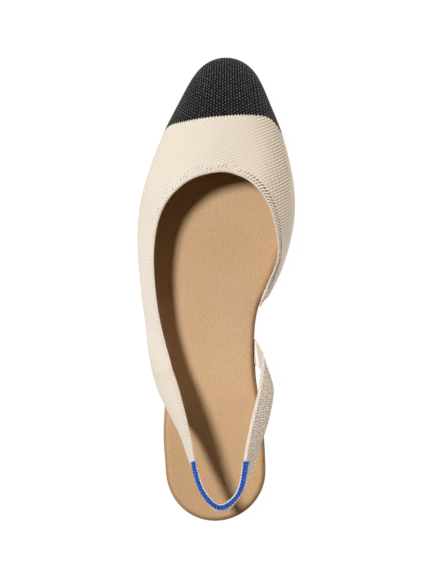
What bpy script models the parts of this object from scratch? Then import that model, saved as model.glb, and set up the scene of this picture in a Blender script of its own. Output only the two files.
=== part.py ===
"""Sling back flat for the left foot, empty and standing on its sole.

Four pieces: a rubber outsole with a low heel, a padded footbed, a knitted upper that
runs on as the heel strap, and the stitched trim on the strap's edge.
+Y points to the toe, +X to the inner side of the foot, +Z up. The origin is on the
floor under the middle of the shoe's box.
"""

import math

import bmesh
import bpy
import numpy as np

# Footbed, which is the last's bottom
FOOTBED_LENGTH = 0.2536
BALL_WIDTH = 0.0784
WAIST_WIDTH = 0.0504
HEEL_WIDTH = 0.0552
HEEL_ROUND = 0.028
TOE_ROUND = 0.040
FOOTBED_HEEL_THICKNESS = 0.0056
FOOTBED_BALL_THICKNESS = 0.0036
FOOTBED_EDGE_RADIUS = 0.0020
HEEL_CUP_DEPTH = 0.0010
ARCH_RISE = 0.0012

# Outsole
OUTSOLE_THICKNESS = 0.0030
HEEL_LIFT = 0.0060
TOE_SPRING = 0.0080
HEEL_LENGTH = 0.074
HEEL_BREAST_RUN = 0.0020
OUTSOLE_BEVEL = 0.0008
OUTSOLE_TUCK = 0.0005
OUTSOLE_RECESS = 0.0006

# Upper
WALL = 0.0018
RIM_WIDTH = 0.0034
RIM_SWELL = 0.0002
RIM_RAMP = 0.0006
THROAT_HEIGHT = 0.0462
WALL_BELLY = 0.008
SHOULDER_HEIGHT = 0.016
VAMP_CROWN = 0.008

# Heel strap
STRAP_HEIGHT = 0.0600
STRAP_WIDTH = 0.0130

# Stitched trim on the strap's edge
TRIM_THREAD = 0.00040
TRIM_DEPTH = 0.0018
TRIM_SEAT = 0.0010
TRIM_REACH = 0.0352

# Clearance between pieces that meet
GAP = 0.0003

# The outsole's ledge carries the upper's wall, which hides its edge
OUTSOLE_LEDGE = GAP + WALL - OUTSOLE_TUCK

# Where the side view changes, as shares of the footbed's length from the heel
TOE_SPRING_FROM = 0.72
HEEL_LIFT_FALLS = (0.20, 0.60)
FOOTBED_THINS = (0.25, 0.60)
HEEL_CUP_FADES = (0.12, 0.37)
ARCH_STARTS = (0.22, 0.36)
ARCH_ENDS = (0.42, 0.58)

# Facets
LOOP_STEPS = 96
CROSS_STEPS = 5
RIB_STEPS = 4
WALL_ROWS = 9
LOW_ROWS_CLOSER = 1.35

# Footbed outline, from heel to toe. along: share of the footbed's length; width: full
# width; axis: how far the middle lies to the inner side, as a share of the ball width
FOOTBED_SECTIONS = (
    # along, width, axis
    (0.000, 1.000 * HEEL_WIDTH, -0.003),
    (0.111, 1.000 * HEEL_WIDTH, 0.002),
    (0.190, 1.004 * HEEL_WIDTH, -0.012),
    (0.254, 1.044 * WAIST_WIDTH, -0.022),
    (0.317, 1.008 * WAIST_WIDTH, -0.044),
    (0.377, 1.044 * WAIST_WIDTH, -0.062),
    (0.437, 1.112 * WAIST_WIDTH, -0.074),
    (0.496, 0.798 * BALL_WIDTH, -0.064),
    (0.556, 0.905 * BALL_WIDTH, -0.034),
    (0.615, 0.978 * BALL_WIDTH, -0.009),
    (0.683, 1.000 * BALL_WIDTH, 0.009),
    (0.754, 0.922 * BALL_WIDTH, 0.031),
    (0.833, 0.769 * BALL_WIDTH, 0.050),
    (0.913, 0.615 * BALL_WIDTH, 0.064),
    (0.957, 0.602 * BALL_WIDTH, 0.072),
    (1.000, 0.650 * BALL_WIDTH, 0.076),
)

# Places round the footbed where the outsole's ledge starts and ends: under the strap's
# end, and under the end of the upper's inner side
STRAP_LEDGE = (0.1972, 0.1997, 0.2155, 0.2180)
WAIST_LEDGE = (0.2385, 0.2410)

# How far the outsole stands out past the footbed, around its edge. round: 0 at the
# heel's back, 0.25 at the inner waist, 0.5 at the toe, 0.75 at the outer waist
OUTSOLE_EDGE = (
    # round, stands out
    (0.000, -OUTSOLE_RECESS),
    (0.165, -OUTSOLE_RECESS),
    (0.185, 0.1 * OUTSOLE_LEDGE),
    (STRAP_LEDGE[0], 0.2 * OUTSOLE_LEDGE),
    (STRAP_LEDGE[1], OUTSOLE_LEDGE),
    (STRAP_LEDGE[2], OUTSOLE_LEDGE),
    (STRAP_LEDGE[3], -OUTSOLE_RECESS),
    (WAIST_LEDGE[0], -OUTSOLE_RECESS),
    (WAIST_LEDGE[1], OUTSOLE_LEDGE),
    (0.300, OUTSOLE_LEDGE),
    (0.790, OUTSOLE_LEDGE),
    (0.820, -OUTSOLE_RECESS),
    (1.000, -OUTSOLE_RECESS),
)

# Ribs of the upper whose foot is on the sole, from the inner waist round the toe to the
# outer waist. round places the foot. collar: along is a share of the footbed's length,
# side of half the ball width, rise of the throat's height. belly, shoulder and crown are
# shares of the named sizes, reach a share of the rib
SEATED_RIBS = (
    # round, along, side, rise, belly, shoulder, reach, crown
    (0.2400, 0.470, 0.665, 0.235, 0.20, 0.20, 0.33, 0.00),
    (0.2560, 0.518, 0.785, 0.395, 0.60, 0.32, 0.33, 0.05),
    (0.2724, 0.572, 0.920, 0.615, 0.66, 0.55, 0.33, 0.15),
    (0.2886, 0.622, 0.915, 0.760, 0.75, 0.85, 0.32, 0.35),
    (0.3120, 0.678, 0.815, 0.880, 0.93, 1.10, 0.30, 0.75),
    (0.3370, 0.714, 0.690, 0.942, 0.97, 1.15, 0.30, 0.95),
    (0.3647, 0.737, 0.560, 0.972, 0.90, 1.10, 0.35, 0.95),
    (0.3976, 0.750, 0.430, 0.988, 0.80, 1.00, 0.42, 0.90),
    (0.4361, 0.758, 0.285, 0.997, 0.70, 0.92, 0.46, 0.85),
    (0.4680, 0.761, 0.201, 0.999, 0.67, 0.90, 0.46, 0.82),
    (0.5000, 0.762, 0.115, 1.000, 0.66, 0.90, 0.46, 0.80),
    (0.5320, 0.761, 0.030, 0.999, 0.67, 0.90, 0.46, 0.82),
    (0.5639, 0.759, -0.055, 0.997, 0.68, 0.92, 0.46, 0.85),
    (0.6024, 0.753, -0.215, 0.990, 0.78, 1.00, 0.42, 0.90),
    (0.6353, 0.741, -0.385, 0.972, 0.88, 1.05, 0.36, 0.90),
    (0.6630, 0.721, -0.545, 0.940, 0.88, 1.05, 0.32, 0.85),
    (0.6880, 0.689, -0.705, 0.893, 0.72, 1.00, 0.32, 0.65),
    (0.7114, 0.640, -0.825, 0.840, 0.82, 0.92, 0.33, 0.45),
    (0.7341, 0.572, -0.875, 0.808, 0.84, 0.85, 0.34, 0.30),
    (0.7564, 0.495, -0.845, 0.800, 0.92, 0.88, 0.34, 0.28),
    (0.7788, 0.418, -0.760, 0.825, 1.10, 1.00, 0.34, 0.38),
    (0.7985, 0.350, -0.635, 0.895, 1.22, 1.20, 0.34, 0.55),
)

# Ribs of the free strap, from the outer waist round the heel to the inner waist. The
# upper edge: along and side as above, rise as a share of the strap's height. width is a
# share of the strap's; out and back say which way the lower edge lies from the upper;
# belly is a share of the wall's
STRAP_RIBS = (
    # along, side, rise, width, out, back, belly
    (0.3330, -0.594, 0.722, 2.43, -0.340, 0.020, 0.92),
    (0.3140, -0.550, 0.750, 2.40, -0.390, 0.000, 0.64),
    (0.2780, -0.475, 0.808, 2.18, -0.440, -0.050, 0.42),
    (0.2450, -0.418, 0.858, 2.02, -0.430, -0.120, 0.28),
    (0.2090, -0.362, 0.900, 1.65, -0.390, -0.150, 0.18),
    (0.1770, -0.316, 0.933, 1.33, -0.310, -0.080, 0.12),
    (0.1370, -0.274, 0.967, 1.12, -0.210, 0.040, 0.08),
    (0.0990, -0.213, 0.990, 1.05, -0.140, 0.080, 0.08),
    (0.0640, -0.098, 1.000, 1.02, -0.100, 0.210, 0.08),
    (0.0410, 0.108, 1.000, 0.99, 0.000, 0.280, 0.08),
    (0.0630, 0.335, 0.998, 1.01, 0.050, 0.230, 0.08),
    (0.0980, 0.428, 0.988, 1.05, 0.240, 0.100, 0.08),
    (0.1370, 0.460, 0.967, 1.11, 0.370, 0.060, 0.08),
    (0.1800, 0.500, 0.934, 1.15, 0.450, 0.070, 0.10),
    (0.2330, 0.566, 0.853, 1.18, 0.490, 0.240, 0.14),
    (0.2880, 0.645, 0.708, 1.14, 0.465, 0.400, 0.16),
    (0.3290, 0.683, 0.530, 1.04, 0.410, 0.600, 0.16),
    (0.3600, 0.690, 0.375, 0.98, 0.160, 0.760, 0.12),
    (0.3820, 0.640, 0.240, 0.98, 0.040, 0.930, 0.06),
)
# The strap's end on the sole, as places round the footbed
STRAP_END = (0.2170, 0.1986)


def rows(table):
    """The columns of a table, as arrays."""
    return np.array(table, float).T


def spline(knots, values, at):
    """A natural cubic spline through values, read at the given places."""
    knots = np.asarray(knots, float)
    values = np.asarray(values, float)
    flat = values.reshape(len(knots), -1)
    step = np.diff(knots)
    slope = np.diff(flat, axis=0) / step[:, None]
    count = len(knots)
    system = np.eye(count)
    right = np.zeros_like(flat)
    for i in range(1, count - 1):
        system[i, i - 1] = step[i - 1]
        system[i, i] = 2 * (step[i - 1] + step[i])
        system[i, i + 1] = step[i]
        right[i] = 6 * (slope[i] - slope[i - 1])
    bend = np.linalg.solve(system, right)
    at = np.atleast_1d(np.asarray(at, float))
    cell = np.clip(np.searchsorted(knots, at) - 1, 0, count - 2)
    width = step[cell][:, None]
    near = (knots[cell + 1] - at)[:, None] / width
    far = 1 - near
    found = near * flat[cell] + far * flat[cell + 1]
    found += ((near**3 - near) * bend[cell] + (far**3 - far) * bend[cell + 1]) * width**2 / 6
    return found.reshape((len(at),) + values.shape[1:])


def smooth(value, start=0, end=1):
    """0 up to the start, 1 from the end on, and an even S between."""
    share = np.clip((value - start) / (end - start), 0, 1)
    return share * share * (3 - 2 * share)


def unit(vectors):
    """Vectors of length 1."""
    return vectors / np.linalg.norm(vectors, axis=-1, keepdims=True)


def footbed_edge(around):
    """Points (x, y) on the footbed's outline; y is 0 at the heel's end."""
    around = np.atleast_1d(np.asarray(around, float))
    along = (1 - np.cos(2 * math.pi * around)) / 2
    places, widths, axes = rows(FOOTBED_SECTIONS)
    half = spline(places, widths, along) / 2
    axis = spline(places, axes, along) * BALL_WIDTH
    from_heel = np.clip(1 - along * FOOTBED_LENGTH / HEEL_ROUND, 0, 1)
    from_toe = np.clip(1 - (1 - along) * FOOTBED_LENGTH / TOE_ROUND, 0, 1)
    rounding = np.sqrt(np.clip(1 - from_heel**2, 0, 1) * np.clip(1 - from_toe**2, 0, 1))
    side = np.where(np.mod(around, 1) < 0.5, 1, -1)
    return np.stack([axis + side * half * rounding, along * FOOTBED_LENGTH], axis=-1)


def footbed_outward(around):
    """Unit vectors (x, y) that point out of the footbed's outline."""
    around = np.atleast_1d(np.asarray(around, float))
    nudge = 1e-4
    run = footbed_edge(around + nudge) - footbed_edge(around - nudge)
    return unit(np.stack([run[:, 1], -run[:, 0]], axis=-1))


def beside_footbed(around, distance):
    """Points (x, y) at a distance outside the footbed's outline."""
    distance = np.broadcast_to(distance, np.shape(np.atleast_1d(around)))
    return footbed_edge(around) + footbed_outward(around) * distance[:, None]


def toe_lift(y):
    """How far the toe curls up off the floor."""
    past_ball = (y / FOOTBED_LENGTH - TOE_SPRING_FROM) / (1 - TOE_SPRING_FROM)
    return TOE_SPRING * np.clip(past_ball, 0, None) ** 1.8


def heel_lift(y):
    """How far the heel raises the outsole's top over the forefoot's."""
    return HEEL_LIFT * (1 - smooth(y / FOOTBED_LENGTH, *HEEL_LIFT_FALLS))


def outsole_top(y):
    """Height of the outsole's top face."""
    return OUTSOLE_THICKNESS + heel_lift(y) + toe_lift(y)


def outsole_bottom(y):
    """Height of the outsole's underside: on the floor under heel and ball."""
    past_heel = np.clip((y - HEEL_LENGTH) / HEEL_BREAST_RUN, 0, 1)
    return heel_lift(y) * past_heel + toe_lift(y)


def footbed_thickness(y):
    """Thick under the heel, thin under the ball."""
    to_ball = smooth(y / FOOTBED_LENGTH, *FOOTBED_THINS)
    return FOOTBED_HEEL_THICKNESS + (FOOTBED_BALL_THICKNESS - FOOTBED_HEEL_THICKNESS) * to_ball


def footbed_top(x, y):
    """Height of the footbed's top, with its heel cup and arch."""
    along = np.clip(y / FOOTBED_LENGTH, 0, 1)
    places, widths, axes = rows(FOOTBED_SECTIONS)
    half = (spline(places, widths, along.ravel()) / 2).reshape(along.shape)
    axis = (spline(places, axes, along.ravel()) * BALL_WIDTH).reshape(along.shape)
    across = np.clip((x - axis) / half, -1, 1)
    in_heel = 1 - smooth(along, *HEEL_CUP_FADES)
    in_arch = smooth(along, *ARCH_STARTS) * (1 - smooth(along, *ARCH_ENDS))
    cup = -HEEL_CUP_DEPTH * in_heel * (1 - across**2)
    arch = ARCH_RISE * in_arch * smooth(across)
    return outsole_top(y) + GAP + footbed_thickness(y) + cup + arch


def loop_places():
    """Places round the footbed for the edges of footbed and outsole, with more at the
    heel breast and where the ledge starts and ends. They are the same on both sides, so
    that cross lines stay straight."""
    half = list(np.arange(1, LOOP_STEPS // 2) / LOOP_STEPS)
    breast = [
        math.acos(1 - 2 * y / FOOTBED_LENGTH) / (2 * math.pi)
        for y in (HEEL_LENGTH, HEEL_LENGTH + HEEL_BREAST_RUN)
    ]
    for place in (*breast, *STRAP_LEDGE, *WAIST_LEDGE):
        half = [p for p in half if abs(p - place) > 0.15 / LOOP_STEPS] + [place]
    half = sorted(half)
    return np.array([0.0] + half + [0.5] + [1 - p for p in reversed(half)])


def piece(name, points, faces, material):
    """A closed mesh object from points and faces, its faces turned outwards."""
    mesh = bpy.data.meshes.new(name)
    mesh.from_pydata([tuple(p) for p in points], [], faces)
    work = bmesh.new()
    work.from_mesh(mesh)
    bmesh.ops.recalc_face_normals(work, faces=work.faces)
    if work.calc_volume(signed=True) < 0:
        bmesh.ops.reverse_faces(work, faces=work.faces)
    work.to_mesh(mesh)
    work.free()
    mesh.shade_smooth()
    mesh.set_sharp_from_angle(angle=math.radians(40))
    mesh.materials.append(material)
    made = bpy.data.objects.new(name, mesh)
    bpy.context.scene.collection.objects.link(made)
    return made


def finish(name, colour, roughness):
    """A plain material."""
    made = bpy.data.materials.new(name)
    made.use_nodes = True
    shader = made.node_tree.nodes["Principled BSDF"]
    shader.inputs["Base Color"].default_value = (*colour, 1)
    shader.inputs["Roughness"].default_value = roughness
    shader.inputs["Metallic"].default_value = 0
    return made


def slab(name, rings, top_height, bottom_height, material):
    """A closed slab from rings of points, lowest first, that share their places round
    the edge. The top and bottom are filled by straight cross lines at given heights."""
    count = len(rings[0])
    points = [tuple(p) for ring in rings for p in ring]
    faces = []
    for level in range(len(rings) - 1):
        for i in range(count):
            j = (i + 1) % count
            low, high = level * count, (level + 1) * count
            faces.append((low + i, low + j, high + j, high + i))
    for level, height in ((0, bottom_height), (len(rings) - 1, top_height)):
        ring = rings[level]
        start = level * count
        lines = []
        for i in range(1, count // 2):
            inner, outer = ring[i], ring[count - i]
            line = [start + i]
            for k in range(1, CROSS_STEPS):
                x, y = inner[:2] + (outer[:2] - inner[:2]) * k / CROSS_STEPS
                points.append((x, y, float(height(np.array([x]), np.array([y]))[0])))
                line.append(len(points) - 1)
            line.append(start + count - i)
            lines.append(line)
        for near, far in zip(lines, lines[1:]):
            for k in range(CROSS_STEPS):
                faces.append((near[k], near[k + 1], far[k + 1], far[k]))
        for tip, line in ((start, lines[0]), (start + count // 2, lines[-1])):
            for k in range(CROSS_STEPS):
                faces.append((tip, line[k], line[k + 1]))
    return piece(name, points, faces, material)


def make_outsole(material):
    """Thin rubber sole with a low heel, flat on the floor under heel and ball."""
    around = loop_places()
    places, stands_out = rows(OUTSOLE_EDGE)
    ledge = np.interp(around, places, stands_out)
    outer = beside_footbed(around, ledge)
    inset = beside_footbed(around, ledge - OUTSOLE_BEVEL)
    y = outer[:, 1]
    rings = [
        np.column_stack([inset, outsole_bottom(inset[:, 1])]),
        np.column_stack([outer, outsole_bottom(y) + OUTSOLE_BEVEL]),
        np.column_stack([outer, outsole_top(y)]),
    ]
    return slab(
        "outsole",
        rings,
        lambda x, y: outsole_top(y),
        lambda x, y: outsole_bottom(y),
        material,
    )


def make_footbed(material):
    """Padded footbed with a rolled edge, from heel to toe."""
    around = loop_places()
    radius = FOOTBED_EDGE_RADIUS
    base = beside_footbed(around, -radius / 2)
    rings = [np.column_stack([base, outsole_top(base[:, 1]) + GAP])]
    edge = beside_footbed(around, 0)
    rings.append(np.column_stack([edge, outsole_top(edge[:, 1]) + GAP + radius / 2]))
    for turn in (0, 30, 60, 90):
        inset = radius * (1 - math.cos(math.radians(turn)))
        drop = radius * (1 - math.sin(math.radians(turn)))
        line = beside_footbed(around, -inset)
        rings.append(np.column_stack([line, footbed_top(line[:, 0], line[:, 1]) - drop]))
    return slab(
        "footbed",
        rings,
        footbed_top,
        lambda x, y: outsole_top(y) + GAP,
        material,
    )


def seated_foot(around):
    """Foot of the upper's outer face: beside the footbed, just off the outsole."""
    foot = beside_footbed(around, GAP + WALL)
    return np.column_stack([foot, outsole_top(foot[:, 1]) + GAP])


def upper_controls():
    """Four control points for each rib of the upper, and each rib's place round the sole
    while its foot is seated."""
    around, along, side, rise, belly, shoulder, reach, crown = rows(SEATED_RIBS)
    foot = seated_foot(around)
    top = np.column_stack(
        [side * BALL_WIDTH / 2, along * FOOTBED_LENGTH, rise * THROAT_HEIGHT]
    )
    up = np.array([0, 0, 1])
    out = np.column_stack([footbed_outward(around), np.zeros(len(around))])
    low_pull = foot + out * belly[:, None] * WALL_BELLY + up * (shoulder * SHOULDER_HEIGHT)[:, None]
    high_pull = top + (foot - top) * reach[:, None] + up * (crown * VAMP_CROWN)[:, None]
    seated = np.stack([foot, low_pull, high_pull, top], axis=1)

    along, side, rise, width, out, back, belly = rows(STRAP_RIBS)
    top = np.column_stack(
        [side * BALL_WIDTH / 2, along * FOOTBED_LENGTH, rise * STRAP_HEIGHT]
    )
    down = np.sqrt(np.clip(1 - out**2 - back**2, 0, 1))
    across = np.column_stack([out, -back, -down])
    foot = top + across * (width * STRAP_WIDTH)[:, None]
    ends = seated_foot(np.array(STRAP_END))
    top = np.vstack([top, ends[0]])
    foot = np.vstack([foot, ends[1]])
    outward = unit(np.cross(np.gradient(top, axis=0), top - foot))
    bulge = outward * (np.append(belly, 0) * WALL_BELLY)[:, None]
    low_pull = foot + (top - foot) / 3 + bulge
    high_pull = top + (foot - top) / 3 + bulge / 2
    strap = np.stack([foot, low_pull, high_pull, top], axis=1)
    return np.concatenate([seated, strap]), around


def upper_ribs():
    """Control points of every rib that the mesh uses, and their stations."""
    controls, around = upper_controls()
    foot_run = np.linalg.norm(np.diff(controls[:, 0], axis=0), axis=1)
    top_run = np.linalg.norm(np.diff(controls[:, 3], axis=0), axis=1)
    knots = np.concatenate([[0], np.cumsum((foot_run + top_run) / 2)])
    stations = np.concatenate(
        [
            np.linspace(near, far, RIB_STEPS, endpoint=False)
            for near, far in zip(knots, knots[1:])
        ]
        + [knots[-1:]]
    )
    ribs = spline(knots, controls, stations)
    seated = stations <= knots[len(around) - 1]
    places = spline(knots[: len(around)], around, stations[seated])
    ribs[seated, 1] += seated_foot(places) - ribs[seated, 0]
    ribs[seated, 0] = seated_foot(places)
    return ribs, stations


def rib_curve(rib, share):
    """Points on a rib at shares of its parameter."""
    share = np.asarray(share)[:, None]
    rest = 1 - share
    return (
        rest**3 * rib[0]
        + 3 * rest**2 * share * rib[1]
        + 3 * rest * share**2 * rib[2]
        + share**3 * rib[3]
    )


def rib_shares(rib):
    """Where a rib's rows lie: closer near the foot, then the rim's two lines and its top."""
    fine = np.linspace(0, 1, 81)
    run = np.linalg.norm(np.diff(rib_curve(rib, fine), axis=0), axis=1)
    length = np.concatenate([[0], np.cumsum(run)])
    rim = min(RIM_WIDTH, 0.35 * length[-1])
    ramp = min(RIM_RAMP, 0.1 * length[-1])
    below = np.linspace(0, 1, WALL_ROWS) ** LOW_ROWS_CLOSER * (length[-1] - rim - ramp)
    lines = np.concatenate([below, [length[-1] - rim, length[-1] - rim / 2, length[-1]]])
    return np.interp(lines, length, fine)


def upper_faces():
    """Outer and inner face of the upper as grids of points: rib by rib, foot to top."""
    ribs, stations = upper_ribs()
    middle = np.array([rib_curve(rib, rib_shares(rib)) for rib in ribs])
    around = np.gradient(middle, axis=0)
    upward = np.gradient(middle, axis=1)
    outward = unit(np.cross(around, upward))
    rim = np.zeros(middle.shape[1])
    rim[-3:] = 1
    trimmed = trim_share(middle)[:, None]
    swell = rim * (RIM_SWELL * (1 - trimmed) - (WALL - TRIM_SEAT) / 2 * trimmed)
    outer = middle + outward * swell[..., None]
    inner = middle - outward * (WALL + swell)[..., None]
    return outer, inner


def trim_share(grid):
    """1 for the ribs of the strap's back that carry the trim, 0 for the others."""
    top = grid[:, -1]
    strap = np.arange(len(grid)) > (len(SEATED_RIBS) - 1) * RIB_STEPS
    return np.where(strap & (top[:, 1] < TRIM_REACH), 1.0, 0.0)


def make_upper(material):
    """Knitted upper with its heel strap: one wall of even thickness with a thicker rim."""
    outer, inner = upper_faces()
    count, levels = outer.shape[:2]
    points = np.concatenate([outer.reshape(-1, 3), inner.reshape(-1, 3)])
    inside = count * levels
    faces = []

    def at(i, j, face=0):
        return face * inside + i * levels + j

    for i in range(count - 1):
        for j in range(levels - 1):
            faces.append((at(i, j), at(i + 1, j), at(i + 1, j + 1), at(i, j + 1)))
            faces.append(
                (at(i, j, 1), at(i, j + 1, 1), at(i + 1, j + 1, 1), at(i + 1, j, 1))
            )
        for j in (0, levels - 1):
            faces.append((at(i, j), at(i + 1, j), at(i + 1, j, 1), at(i, j, 1)))
    for j in range(levels - 1):
        for i in (0, count - 1):
            faces.append((at(i, j), at(i, j + 1), at(i, j + 1, 1), at(i, j, 1)))
    return piece("upper", points, faces, material)


def make_trim(material):
    """Channel of thick stitching over the strap's upper edge, round the back."""
    outer, inner = upper_faces()
    carried = np.flatnonzero(trim_share(outer) > 0.5)
    top_out, top_in = outer[carried, -1], inner[carried, -1]
    low_out, low_in = outer[carried, -3], inner[carried, -3]
    middle = (top_out + top_in) / 2
    up = unit(middle - (low_out + low_in) / 2)
    out = unit(top_out - top_in)
    half = np.linalg.norm(top_out - top_in, axis=1)[:, None] / 2
    near = half + GAP
    far = near + TRIM_THREAD
    cover = GAP + TRIM_THREAD
    shoulder = TRIM_THREAD * 0.7
    profile = [
        middle + out * far - up * TRIM_DEPTH,
        middle + out * far + up * (cover - shoulder),
        middle + out * (far - shoulder) + up * cover,
        middle - out * (far - shoulder) + up * cover,
        middle - out * far + up * (cover - shoulder),
        middle - out * far - up * TRIM_DEPTH,
        middle - out * near - up * TRIM_DEPTH,
        middle - out * near + up * GAP,
        middle + out * near + up * GAP,
        middle + out * near - up * TRIM_DEPTH,
    ]
    corners = len(profile)
    sections = np.stack(profile, axis=1)
    points = sections.reshape(-1, 3)
    faces = []
    for i in range(len(sections) - 1):
        for k in range(corners):
            n = (k + 1) % corners
            a, b = i * corners, (i + 1) * corners
            faces.append((a + k, a + n, b + n, b + k))
    last = (len(sections) - 1) * corners
    for start in (0, last):
        quads = ((0, 1, 8, 9), (1, 2, 8), (2, 3, 7, 8), (3, 4, 7), (4, 5, 6, 7))
        faces.extend(tuple(start + k for k in quad) for quad in quads)
    return piece("heel_trim", points, faces, material)


def stand_on_origin(pieces):
    """Moves the shoe so that the origin is on the floor under the middle of its box."""
    corners = np.array([v.co for made in pieces for v in made.data.vertices])
    low, high = corners.min(axis=0), corners.max(axis=0)
    middle = (low + high) / 2
    for made in pieces:
        for vertex in made.data.vertices:
            vertex.co.x -= middle[0]
            vertex.co.y -= middle[1]
            vertex.co.z -= low[2]
    return middle, low


def main():
    """Builds the shoe."""
    for old in list(bpy.data.objects):
        bpy.data.objects.remove(old)
    rubber = finish("outsole_rubber", (0.020, 0.020, 0.022), 0.7)
    tan = finish("footbed_tan", (0.60, 0.39, 0.22), 0.55)
    knit = finish("cream_knit", (0.80, 0.73, 0.61), 0.9)
    thread = finish("blue_thread", (0.010, 0.090, 0.560), 0.7)
    pieces = [
        make_outsole(rubber),
        make_footbed(tan),
        make_upper(knit),
        make_trim(thread),
    ]
    return stand_on_origin(pieces)


main()
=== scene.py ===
"""Looks of the sling back flat: knit, leather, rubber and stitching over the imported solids."""

import math

import bmesh
import bpy
import numpy as np
from mathutils import Matrix, Vector

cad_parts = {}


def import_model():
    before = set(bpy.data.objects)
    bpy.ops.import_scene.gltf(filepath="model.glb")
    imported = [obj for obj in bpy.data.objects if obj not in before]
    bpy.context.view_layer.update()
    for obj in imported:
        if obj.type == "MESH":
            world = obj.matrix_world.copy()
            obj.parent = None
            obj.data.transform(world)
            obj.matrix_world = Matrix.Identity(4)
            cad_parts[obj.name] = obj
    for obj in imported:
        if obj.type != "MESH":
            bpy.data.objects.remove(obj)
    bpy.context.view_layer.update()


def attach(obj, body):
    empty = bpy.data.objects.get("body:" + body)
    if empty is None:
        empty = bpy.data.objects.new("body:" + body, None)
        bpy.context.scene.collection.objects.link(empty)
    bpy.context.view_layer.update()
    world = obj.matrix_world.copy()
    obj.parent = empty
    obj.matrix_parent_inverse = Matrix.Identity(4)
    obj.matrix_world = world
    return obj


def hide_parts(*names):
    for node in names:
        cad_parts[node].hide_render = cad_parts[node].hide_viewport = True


# Footbed, which is the last's bottom
FOOTBED_LENGTH = 0.2536
BALL_WIDTH = 0.0784
WAIST_WIDTH = 0.0504
HEEL_WIDTH = 0.0552
HEEL_ROUND = 0.028
TOE_ROUND = 0.040
FOOTBED_HEEL_THICKNESS = 0.0056
FOOTBED_BALL_THICKNESS = 0.0036
FOOTBED_EDGE_RADIUS = 0.0020
HEEL_CUP_DEPTH = 0.0010
ARCH_RISE = 0.0012

# Outsole
OUTSOLE_THICKNESS = 0.0030
HEEL_LIFT = 0.0060
TOE_SPRING = 0.0080
HEEL_LENGTH = 0.074
HEEL_BREAST_RUN = 0.0020
OUTSOLE_BEVEL = 0.0008
OUTSOLE_TUCK = 0.0005
OUTSOLE_RECESS = 0.0006

# Upper
WALL = 0.0018
THROAT_HEIGHT = 0.0462
WALL_BELLY = 0.008
SHOULDER_HEIGHT = 0.016
VAMP_CROWN = 0.008

# Heel strap and its trim
STRAP_HEIGHT = 0.0600
STRAP_WIDTH = 0.0130
TRIM_SEAT = 0.0010
TRIM_REACH = 0.0352

# Clearance between pieces that meet
GAP = 0.0003
OUTSOLE_LEDGE = GAP + WALL - OUTSOLE_TUCK

# Where the side view changes, as shares of the footbed's length from the heel
TOE_SPRING_FROM = 0.72
HEEL_LIFT_FALLS = (0.20, 0.60)
FOOTBED_THINS = (0.25, 0.60)
HEEL_CUP_FADES = (0.12, 0.37)
ARCH_STARTS = (0.22, 0.36)
ARCH_ENDS = (0.42, 0.58)

# Where the middle of the solids' box lies, measured from the footbed's heel end
BOX_MIDDLE = np.array([0.00052928, 0.1280004, 0])

# The knit's columns and rows of loops, and the cap's scallops, in millimetres
COLUMN = 1.63
ROW = 1.76
SCALLOP = 0.85

# The columns widen down the inner side: from how far across, and by which share
SIDE_FROM = 20.0
SIDE_WIDENS = 0.38

# The looks' wall at the collar's rim and at the strap's end, how far above the end it
# thins, and how far each end of the upper tapers
RIM_WALL = 0.0012
END_WALL = 0.0010
END_THINS = 0.015
END_TAPERS = 0.009

# How the heel's part of the strap leans in the looks. along: from the heel's end as a
# share of the footbed's length; lean: outwards at the lower edge, as a share of its width
HEEL_LEAN = (
    # along, outer side, inner side
    (0.040, 0.00, 0.00),
    (0.062, 0.13, 0.09),
    (0.098, 0.15, 0.10),
    (0.150, 0.02, 0.02),
    (0.200, 0.00, 0.00),
)

# How far the strap's fabric shows inside the trim
TRIM_FOLD = 0.00040

# The footbed's wide roll, as the surface shows it
ROLL_WIDTH = 0.0032
ROLL_DROP = 0.0024

# The collar's welt, in millimetres: the pitches of its ladder, strokes, bars, dashes and dots
LADDER_PITCH = 1.80
STROKE_PITCH = 1.50
BAR_PITCH = 1.70
DASH_PITCH = 1.90
DOT_PITCH = 2.10
FAR_DOT_PITCH = 8.70

# The tread's chevrons under the sole
TREAD_WIDTH = 0.012
TREAD_PITCH = 0.0032

# Footbed outline, from heel to toe. along: share of the footbed's length; width: full
# width; axis: how far the middle lies to the inner side, as a share of the ball width
FOOTBED_SECTIONS = (
    # along, width, axis
    (0.000, 1.000 * HEEL_WIDTH, -0.003),
    (0.111, 1.000 * HEEL_WIDTH, 0.002),
    (0.190, 1.004 * HEEL_WIDTH, -0.012),
    (0.254, 1.044 * WAIST_WIDTH, -0.022),
    (0.317, 1.008 * WAIST_WIDTH, -0.044),
    (0.377, 1.044 * WAIST_WIDTH, -0.062),
    (0.437, 1.112 * WAIST_WIDTH, -0.074),
    (0.496, 0.798 * BALL_WIDTH, -0.064),
    (0.556, 0.905 * BALL_WIDTH, -0.034),
    (0.615, 0.978 * BALL_WIDTH, -0.009),
    (0.683, 1.000 * BALL_WIDTH, 0.009),
    (0.754, 0.922 * BALL_WIDTH, 0.031),
    (0.833, 0.769 * BALL_WIDTH, 0.050),
    (0.913, 0.615 * BALL_WIDTH, 0.064),
    (0.957, 0.602 * BALL_WIDTH, 0.072),
    (1.000, 0.650 * BALL_WIDTH, 0.076),
)

# Places round the footbed where the outsole's ledge starts and ends: under the strap's
# end, and under the end of the upper's inner side
STRAP_LEDGE = (0.1972, 0.1997, 0.2155, 0.2180)
WAIST_LEDGE = (0.2385, 0.2410)

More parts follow.
